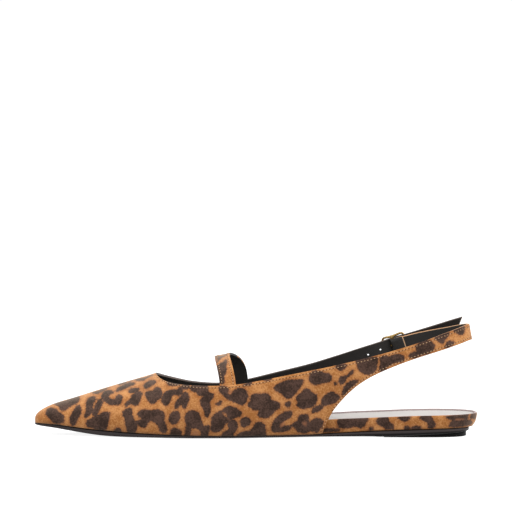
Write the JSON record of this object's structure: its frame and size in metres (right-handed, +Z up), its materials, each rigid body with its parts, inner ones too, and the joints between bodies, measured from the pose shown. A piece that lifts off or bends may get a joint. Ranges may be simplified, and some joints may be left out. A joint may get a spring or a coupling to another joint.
{
  "type": "slingback flat",
  "caption": "Pointed flat slingback shoe for the right foot: spotted suede upper with instep band and buckled heel strap, covered footbed, thin rubber sole.",
  "frame": {"origin": "on the floor under the middle of the shoe's box", "axes": "+X from the toe to the heel, -Y to the inner (medial) side, +Z up"},
  "size_m": [0.275, 0.0796, 0.0718],
  "materials": {
    "printed_suede": "matte nap, dark brown spots printed on tan",
    "sock_lining": "smooth pale grey satin",
    "black_rubber": "moulded satin",
    "pale_brass": "polished"
  },
  "bodies": {
    "root": {"upper": "printed_suede", "instep_band": "printed_suede", "footbed": "printed_suede", "insole_sock": "sock_lining", "outsole": "black_rubber", "heel_lift": "black_rubber", "buckle_frame": "pale_brass", "buckle_prong": "pale_brass"}
  },
  "joints": []
}
